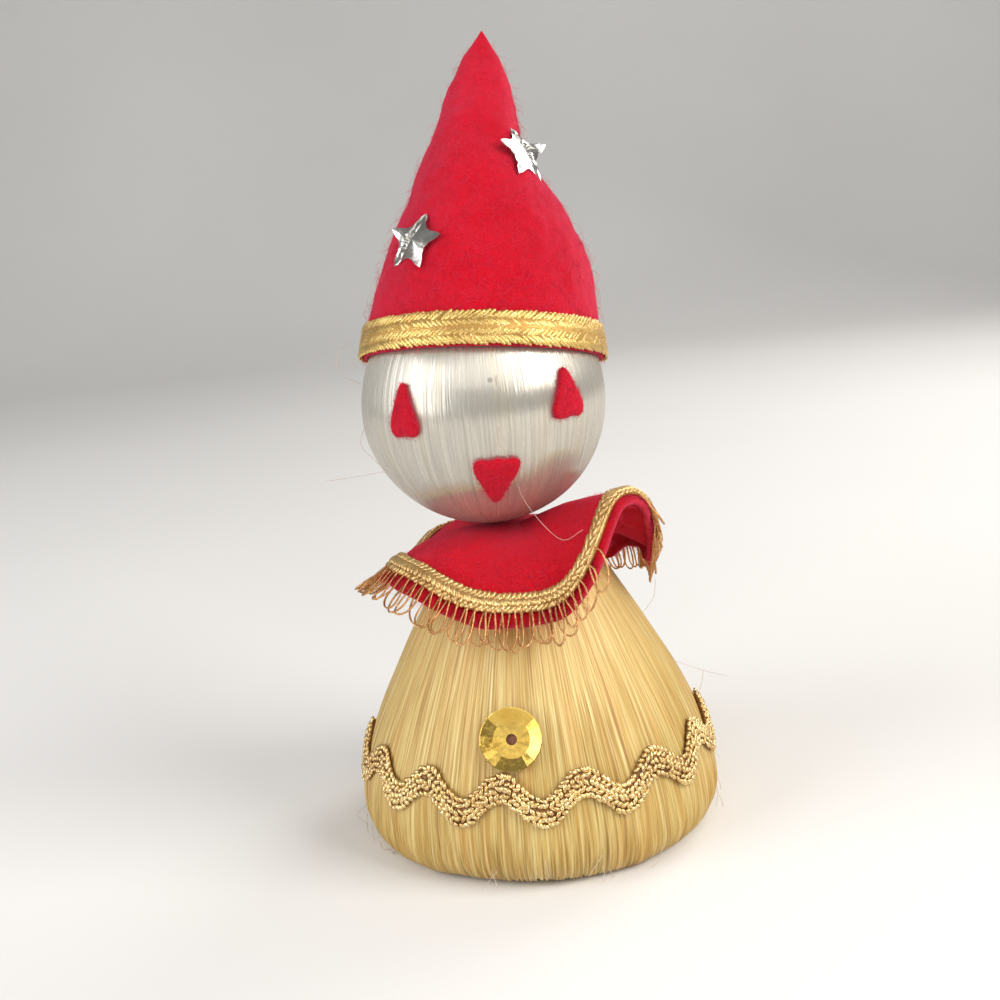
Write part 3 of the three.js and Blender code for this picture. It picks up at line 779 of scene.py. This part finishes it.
def make_collar():
    columns = 480
    azimuth = (np.arange(columns) * 360 / columns)[None]
    reach = np.linspace(0.4, COLLAR_REACH, 40)
    edge = COLLAR_REACH + 0.12 * ripple(polar(19, np.radians(azimuth[0]), 0), 3.0, 51)
    distance = reach[:, None] * (edge / COLLAR_REACH)[None]
    middle = collar_middle(distance, azimuth)
    calm = smoothstep(distance, 4, 12)
    wave = calm * (0.10 * ripple(middle, 5.0, 52) + 0.05 * ripple(middle, 1.6, 53))
    half = COLLAR_FELT / 2
    over = on_collar(distance, azimuth, half + wave)
    under = on_collar(distance, azimuth, -half + wave)
    rim = on_collar(distance[-1:] + 0.2, azimuth, wave[-1:])
    points = np.concatenate([under, rim, over[::-1]])
    rows = len(points)
    row = np.repeat(np.arange(rows - 1), columns)
    cut = (np.abs(row - len(reach) + 0.5) < 1.2).astype(int)
    ring = np.arange(columns)[None]
    faces = [grid_faces(rows, columns, True), ring[:, ::-1], (rows - 1) * columns + ring]
    collar = make("felt_collar", points.reshape(-1, 3), faces, [COLLAR_CLOTH, CUT_EDGE],
                  ["collar"], kinds=np.concatenate([cut, [0, 0]]))
    r = np.random.default_rng(54)
    n = 5200
    az = r.uniform(0, 360, n)
    d = COLLAR_REACH * np.sqrt(r.uniform(0.35, 1.0, n))
    at_edge = r.uniform(size=n) < 0.4
    d = np.where(at_edge, COLLAR_REACH + r.uniform(-0.2, 0.15, n), d)
    side = np.where(r.uniform(size=n) < 0.75, 1.0, -1.0)
    normal = collar_normal(d, az) * side[:, None]
    roots = collar_middle(d, az) + normal * half
    points, faces = fuzz(roots, normal, 55, 1.1, 0.35, 0.016)
    make("collar_fuzz", points, faces, RED_FUZZ)
    return collar


def make_trim():
    """The braid, three rows of slanting stitches on a ground that bends with the felt."""
    base = COLLAR_FELT / 2 + GAP * 0.6
    r = np.random.default_rng(61)
    count, rows = 160, 3
    wide = BRAID_WIDTH / rows
    parts = []
    for row in range(rows):
        az = (np.arange(count) + 0.5 * (row % 2)) * 360 / count
        d = BRAID_MIDDLE + (row - (rows - 1) / 2) * wide
        turn = (46 if row % 2 else -46) + r.normal(0, 6, count)
        plump = 0.72 * r.uniform(0.86, 1.14, count)
        points, faces = lobes(np.zeros((count, 3)), turn, wide * 1.7, plump, 0.5, sides=7)
        points = points.reshape(count, -1, 3)
        along = points[..., 0] * 360 / (2 * math.pi * BRAID_MIDDLE) + az[:, None]
        across = points[..., 1] + d + r.normal(0, 0.03, (count, 1))
        off = points[..., 2] + base + (0.46 if row == 1 else 0.34) + r.normal(0, 0.03, (count, 1))
        parts.append((on_collar(across, along, off).reshape(-1, 3), faces))
    points, faces = joined(*parts)
    braid = make("collar_braid", points, faces, BRAID_GOLD, ["collar_trim"])
    az = np.linspace(0, 360, 361)[:-1]
    half = BRAID_WIDTH / 2
    profile = [(-half, 0.0), (0, 0.0), (half, 0.0), (half, 0.3), (0, 0.42), (-half, 0.3), (-half, 0.0)]
    level = 0 * az
    rows = np.stack([
        on_collar(level + BRAID_MIDDLE + side, az, level + base + lift) for side, lift in profile
    ])
    make("collar_braid_ground", rows.reshape(-1, 3), grid_faces(len(profile), len(az), True),
         BRAID_GROUND)
    return braid


def make_fringe():
    """Wide wire loops that overlap like a flat coil. None hang where the fold's near side is bare."""
    base = COLLAR_FELT / 2 + GAP * 0.6
    steps = 34
    r = np.random.default_rng(71)
    azimuth = (np.arange(LOOPS) + 0.5 + r.normal(0, 0.14, LOOPS)) * 360 / LOOPS - 180
    azimuth = azimuth[(azimuth < BARE_FROM) | (azimuth > BARE_TO)]
    count = len(azimuth)
    length = LOOP_LENGTH * r.normal(1.0, 0.06, count)
    half = LOOP_HALF * r.uniform(0.85, 1.15, count)
    skew = r.normal(0.15, 0.35, count)
    hang = r.normal(0, 5, count)
    root = BRAID_MIDDLE + BRAID_WIDTH / 2 - 0.7
    turn = np.linspace(0, math.pi, steps)[None]
    swing = np.sin(turn)
    aside = half[:, None] * np.cos(turn) * (0.5 + 0.75 * swing) + skew[:, None] * swing ** 2
    run = length[:, None] * swing ** 0.8
    slope = LOOP_SLOPE + LOOP_STEEPER * swell(azimuth, RIGHT_SIDE) + hang
    for fold in FOLDS:
        slope = slope + fold[5] * swell(azimuth, fold)
    slope = np.radians(slope)[:, None]
    laid = np.minimum(run, COLLAR_REACH + LOOP_OVERHANG - root)
    az = azimuth[:, None] + np.degrees(aside / BRAID_MIDDLE)
    level = base + 0.32 + 0.16 * np.cos(turn)
    spots = on_collar(root + laid, az, level)
    away = polar(np.cos(slope), np.radians(azimuth)[:, None], -np.sin(slope))
    paths = spots + away * (run - laid)[..., None]
    bend = ripple(paths, 2.2, 72)[..., None] * 0.08
    paths = paths + bend * collar_normal(root + laid, az)
    points, faces = tubes(paths, LOOP_WIRE * (1 + 0.1 * ripple(paths, 0.5, 73)), 6)
    return make("collar_fringe", points, faces, FRINGE_GOLD)


# The rick-rack and the sequin on the belly

def on_belly(azimuth, level, off):
    """A point off the bell's side, at an azimuth in radians and a height."""
    slope = body_slope(level)
    return polar(body_radius(level) + off * np.cos(slope), azimuth, level + off * np.sin(slope))


def rickrack_wave(azimuth):
    return RICKRACK_WAVES * azimuth + math.radians(RICKRACK_PHASE)


def make_rickrack():
    """The rick-rack, five rows of knobbly stitches that follow its wave, over a dark sheet that is painted
    shade in the gaps between them.
    """
    fine = np.linspace(0, 2 * math.pi, 4001)
    level = RICKRACK_HEIGHT + RICKRACK_SWING * np.sin(rickrack_wave(fine))
    girth = float(body_radius(RICKRACK_HEIGHT))
    steps = np.hypot(np.diff(fine) * girth, np.diff(level))
    arc = np.concatenate([[0], np.cumsum(steps)])
    rows, count = 5, int(arc[-1] / 0.66)
    r = np.random.default_rng(81)
    parts = []
    for row in range(rows):
        at = (np.arange(count) + 0.5 * (row % 2) + r.normal(0, 0.08, count)) * arc[-1] / count
        az = np.interp(at, arc, fine)
        middle = np.interp(at, arc, level)
        lean = np.degrees(np.arctan(RICKRACK_SWING * RICKRACK_WAVES / girth * np.cos(rickrack_wave(az))))
        tall = RICKRACK_WIDTH / rows
        up = middle + (row - (rows - 1) / 2) * tall + r.normal(0, 0.08, count)
        turn = lean + (34 if row % 2 else -34) + r.normal(0, 12, count)
        long = r.uniform(0.75, 1.15, count)
        wide = tall * 0.86 * r.uniform(0.8, 1.2, count)
        high = 0.46 * r.uniform(0.8, 1.2, count)
        points, faces = lobes(np.zeros((count, 3)), turn, long, wide, high, sides=6)
        points = points.reshape(count, -1, 3)
        edge = 1 - abs(row - (rows - 1) / 2) / (rows / 2)
        off = points[..., 2] + 0.35 + 0.28 * edge + r.normal(0, 0.04, (count, 1))
        spots = on_belly(az[:, None] + points[..., 0] / girth, up[:, None] + points[..., 1], off)
        parts.append((spots.reshape(-1, 3), faces))
    points, faces = joined(*parts)
    make("rickrack_weave", points, faces, RICKRACK_GOLD, ["rickrack"])
    # A dark sheet under the stitches, its colour painted shade for the gaps between them.
    az = np.linspace(0, 2 * math.pi, 1121)[:-1]
    middle = RICKRACK_HEIGHT + RICKRACK_SWING * np.sin(rickrack_wave(az))
    half = RICKRACK_WIDTH / 2 - 0.2
    profile = [(-half, 0.0), (-half, 0.28), (0, 0.52), (half, 0.28), (half, 0.0), (-half, 0.0)]
    rows = np.stack([on_belly(az, middle + side, off + 0 * az) for side, off in profile])
    make("rickrack_gap_shade_sheet", rows.reshape(-1, 3), grid_faces(len(profile), len(az), True)[:, ::-1],
         RICKRACK_GAP_SHADE)


def make_sequin():
    """A cupped sequin of pressed film, its wall in narrow facets and its floor flat around a hole."""
    facets = 22
    r = np.random.default_rng(91)
    angles = np.arange(facets) * 2 * math.pi / facets + r.normal(0, 0.02, facets)
    crimp = np.where(np.arange(facets) % 2, 1.0, -1.0)
    rings = [
        (SEQUIN_HOLE, 0.0, 0), (SEQUIN_HOLE, 0.1, 0), (SEQUIN_FLOOR, 0.12, 0.004),
        (SEQUIN_RADIUS * 0.97, SEQUIN_CUP + 0.1, 0.02), (SEQUIN_RADIUS, SEQUIN_CUP + 0.08, 0.02),
        (SEQUIN_RADIUS, SEQUIN_CUP, 0.02), (SEQUIN_FLOOR, 0.0, 0.004), (SEQUIN_HOLE, 0.0, 0),
    ]
    points = np.concatenate([polar(radius, angles, level + swing * crimp) for radius, level, swing in rings])
    slope = math.atan2(body_radius(SEQUIN_HEIGHT - 3) - body_radius(SEQUIN_HEIGHT + 3), 6)
    around = Matrix.Rotation(math.radians(SEQUIN_AZIMUTH), 4, "Z")
    outward = Matrix.Translation((body_radius(SEQUIN_HEIGHT) + GAP, 0, SEQUIN_HEIGHT))
    place = around @ outward @ Matrix.Rotation(math.pi / 2 - slope, 4, "Y")
    points = points @ np.array(place.to_3x3()).T + np.array(place.translation)
    make("belly_sequin_film", points, grid_faces(len(rings), facets, True), GOLD_FOIL,
         ["belly_sequin"], smooth=False)


# Loose hairs of satin thread

def strand(knots, count=24):
    """Points of a smooth line through the knots."""
    knots = np.array(knots, float)
    ends = np.concatenate([[2 * knots[0] - knots[1]], knots, [2 * knots[-1] - knots[-2]]])
    at = np.linspace(0, len(knots) - 1 - 1e-6, count)
    i = at.astype(int)
    t = (at - i)[:, None]
    a, b, c, d = (ends[i + k] for k in range(4))
    bend = (2 * a - 5 * b + 4 * c - d) * t ** 2 + (3 * b - a - 3 * c + d) * t ** 3
    return 0.5 * (2 * b + (c - a) * t + bend)


def make_hairs():
    lines = [
        # down the face and over the collar
        [(-1.1, -14.25, 59.4), (-1.4, -15.0, 52.1), (-0.5, -14.3, 49.6), (0.9, -11.2, 43.9),
         *on_collar(np.array([11.5, 15.2]), np.array([-67.0, -61.0]), np.array([0.9, 1.5]))],
        # at the left of the head
        [(-15.3, -5.2, 47.8), (-19.4, -3.0, 47.0), (-23.2, -2.0, 46.6)],
        [(-17.5, -2.0, 58.2), (-19.8, -2.0, 59.6), (-19.9, -1.5, 61.8), (-18.4, -1.0, 63.2)],
        [(-17.7, -1.0, 52.8), (-18.3, -1.5, 50.5), (-16.1, -2.0, 47.8)],
        # at the right of the bell
        [(17.4, -1.0, 19.4), (21.7, -1.0, 17.4), (25.0, -1.0, 16.2)],
        [(22.0, -1.0, 17.1), (21.7, -1.0, 15.6), (21.2, -1.0, 14.1)],
        [(16.4, -3.0, 30.6), (15.9, -4.0, 28.6), (14.1, -6.0, 27.2)],
        # at the lower edge on the left
        [(-22.9, -1.5, 3.2), (-24.3, -1.5, 1.9), (-22.9, -2.0, 0.6)],
    ]
    r = np.random.default_rng(95)
    for _ in range(34):
        azimuth, level = r.uniform(0, 2 * math.pi), r.uniform(0.6, 5.0)
        steps = np.linspace(0, 1, 4)
        turn, reach = r.normal(0, 0.05), r.uniform(0.4, 1.5)
        line = on_belly(azimuth + turn * steps, np.maximum(level - 1.6 * steps, 0.25), 0.1 + reach * steps)
        line[:, 2] = np.maximum(line[:, 2], 0.15)
        lines.append(line)
    points, faces = joined(*(tubes(strand(line)[None], 0.034, 5) for line in lines))
    make("stray_hairs", points, faces, HAIR_LOOK)


make_body()
make_head()
for number, patch in enumerate(FACE):
    make_patch(*patch, 100 + 10 * number)
hat = make_hat()
band = make_band()
stars = [make_star(*star, 200 + n) for n, star in enumerate(STARS)]
collar = make_collar()
braid = make_trim()
fringe = make_fringe()
make_rickrack()
make_sequin()
make_hairs()


# Floor, light and camera

def sweep_floor():
    """A pale studio floor that curves up behind the object, in metres."""
    side, back, curve, steps = 1.6, 0.5, 0.3, 12
    spots = [(-1.4, 0.0), (back, 0.0)]
    for k in range(1, steps + 1):
        angle = k / steps * math.pi / 2
        spots.append((back + curve * math.sin(angle), curve - curve * math.cos(angle)))
    spots.append((back + curve, 1.6))
    points = [(x, y, z) for y, z in spots for x in (-side, side)]
    faces = [(2 * i, 2 * i + 1, 2 * i + 3, 2 * i + 2) for i in range(len(spots) - 1)]
    mesh = bpy.data.meshes.new("studio_floor")
    mesh.from_pydata(points, [], faces)
    for polygon in mesh.polygons:
        polygon.use_smooth = True
    look = Look("studio_floor", Roughness=0.85)
    cloud = look.noise(look.place(), 0.004, 3.0)
    tint = look.ramp(cloud, (0.3, tone(226, 224, 220)), (0.7, tone(234, 232, 229)))
    mesh.materials.append(look.link(Base_Color=tint))
    floor = bpy.data.objects.new("studio_floor", mesh)
    bpy.context.scene.collection.objects.link(floor)


def soft_light(name, spot, target, size, power, color):
    light = bpy.data.lights.new(name, "AREA")
    light.shape = "RECTANGLE"
    light.size, light.size_y = size
    light.energy = power
    light.color = color
    lamp = bpy.data.objects.new(name, light)
    bpy.context.scene.collection.objects.link(lamp)
    lamp.location = spot
    lamp.rotation_mode = "QUATERNION"
    lamp.rotation_quaternion = (Vector(spot) - Vector(target)).to_track_quat("Z", "Y")


def studio():
    sweep_floor()
    middle = (0, 0, 0.045)
    soft_light("key", (0.4, -0.22, 0.32), middle, (0.35, 0.35), 2.7, (1.0, 0.98, 0.95))
    soft_light("fill", (-0.44, -0.2, 0.22), middle, (0.35, 0.4), 1.9, (0.96, 0.98, 1.0))
    soft_light("front", (-0.02, -0.45, 0.42), middle, (0.5, 0.35), 0.7, (1.0, 0.99, 0.97))
    soft_light("rim", (0.3, 0.3, 0.3), middle, (0.25, 0.25), 0.9, (1.0, 0.98, 0.96))
    world = bpy.data.worlds.new("studio")
    world.use_nodes = True
    world.node_tree.nodes["Background"].inputs["Color"].default_value = (0.93, 0.93, 0.95, 1)
    world.node_tree.nodes["Background"].inputs["Strength"].default_value = 0.3
    bpy.context.scene.world = world
    bpy.context.scene.view_settings.view_transform = "Standard"


def place_camera():
    """Level with the collar and a little above, turned so that the ornament leans left in the picture."""
    distance, elevation, roll = 170.0, math.radians(13.0), math.radians(5.2)
    target = Vector((-2.0, 0.0, 41.8))
    back = Vector((0, -math.cos(elevation), math.sin(elevation)))
    right, up = Vector((1, 0, 0)), Vector((0, math.sin(elevation), math.cos(elevation)))
    x = right * math.cos(roll) - up * math.sin(roll)
    y = right * math.sin(roll) + up * math.cos(roll)
    data = bpy.data.cameras.new("camera")
    data.lens = 48.96
    data.sensor_width = 36.0
    data.clip_start = 0.005
    camera = bpy.data.objects.new("camera", data)
    bpy.context.scene.collection.objects.link(camera)
    turn = Matrix((x, y, back)).transposed().to_4x4()
    camera.matrix_world = Matrix.Translation((target + back * distance) * MM) @ turn
    bpy.context.scene.camera = camera


studio()
place_camera()
